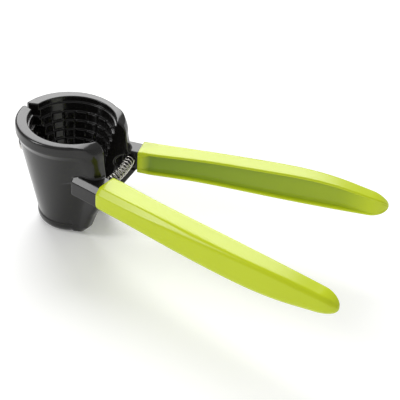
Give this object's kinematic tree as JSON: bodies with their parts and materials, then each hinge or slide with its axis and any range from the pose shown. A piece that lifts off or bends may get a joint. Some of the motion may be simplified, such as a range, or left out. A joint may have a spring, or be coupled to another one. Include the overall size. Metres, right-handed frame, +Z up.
{
  "type": "funnel nutcracker",
  "caption": "Hand nutcracker: toothed conical cup in two hinged halves, each with a lever handle in a moulded sleeve, held open by a spring.",
  "frame": {"origin": "middle of the bounding box seen from above, at the height of the cup's flat base", "axes": "+X along the handles, away from the hinge; +Y towards the far half; +Z up along the cup"},
  "size_m": [0.1752, 0.0824, 0.056],
  "materials": {
    "cast_black": "glossy black stove enamel on a metal casting",
    "lime_sleeve": "glossy lime green moulded plastic",
    "spring_steel": "bright drawn spring wire",
    "pin_steel": "turned steel",
    "nylon": "natural nylon"
  },
  "bodies": {
    "far_half": {"far_jaw": "cast_black", "far_grip": "lime_sleeve", "hinge_pin": "pin_steel", "head_washer": "pin_steel", "lower_thrust_washer": "nylon", "upper_thrust_washer": "nylon", "return_spring": "spring_steel"},
    "near_half": {"near_jaw": "cast_black", "near_grip": "lime_sleeve"}
  },
  "joints": [
    {"name": "cup_hinge", "type": "hinge", "parent": "far_half", "child": "near_half", "pos_m": [-0.08428, 0, 0.04], "axis": [0, 0, 1], "range_deg": [0, 20], "stiffness_Nm_per_rad": 5, "springref_deg": -1.72, "deforming": ["return_spring"]}
  ]
}
